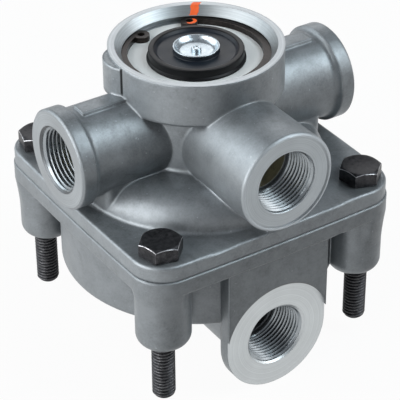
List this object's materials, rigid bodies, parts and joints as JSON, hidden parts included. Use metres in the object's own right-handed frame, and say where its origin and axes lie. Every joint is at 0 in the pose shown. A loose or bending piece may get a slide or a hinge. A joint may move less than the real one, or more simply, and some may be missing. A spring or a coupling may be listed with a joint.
{
  "type": "pneumatic relay valve",
  "caption": "Compressed-air brake relay valve: cast body with threaded ports, piston cover, exhaust collar with rubber flap, and studs for mounting.",
  "frame": {"origin": "centre of the square pattern of studs, on the plane of the corner bosses that seats on the bracket", "axes": "+Z along the valve's axis towards the exhaust collar, -Y out of the supply port and the control port, -X and +X out of the delivery ports"},
  "size_m": [0.109, 0.1038, 0.1107],
  "materials": {
    "cast_aluminium": "die-cast, satin",
    "black_steel": "black oxide",
    "spring_steel": "phosphated",
    "bright_steel": "zinc plated",
    "black_rubber": "moulded",
    "pale_plastic": "moulded, matt",
    "white_plastic": "moulded, matt",
    "piston_aluminium": "machined",
    "marking_paint": "brushed-on check mark, satin"
  },
  "bodies": {
    "housing": {"upper_body": "cast_aluminium", "control_cover": "cast_aluminium", "mounting_bolts": "black_steel", "housing_seal": "black_rubber", "valve_guide": "pale_plastic", "guide_outer_seal": "black_rubber", "guide_inner_seal": "black_rubber", "retaining_ring": "spring_steel", "exhaust_flap": "black_rubber", "flap_cap": "bright_steel", "flap_pin": "bright_steel", "valve_spring": "spring_steel"},
    "piston": {"relay_piston": "piston_aluminium", "piston_seal": "black_rubber", "piston_guide_ring": "white_plastic"},
    "valve": {"valve_sleeve": "bright_steel", "valve_rubber": "black_rubber", "rubber_retainer": "bright_steel", "spring_washer": "bright_steel"}
  },
  "joints": [
    {"name": "piston_slide", "type": "slide", "parent": "housing", "child": "piston", "axis": [0, 0, 1], "range_m": [0, 0.0039]},
    {"name": "valve_slide", "type": "slide", "parent": "housing", "child": "valve", "axis": [0, 0, 1], "range_m": [0, 0.0022], "deforming": ["valve_spring"]}
  ],
  "couplings": [
    {"joint": "valve_slide", "follows": "piston_slide", "ratio": 0.55}
  ]
}
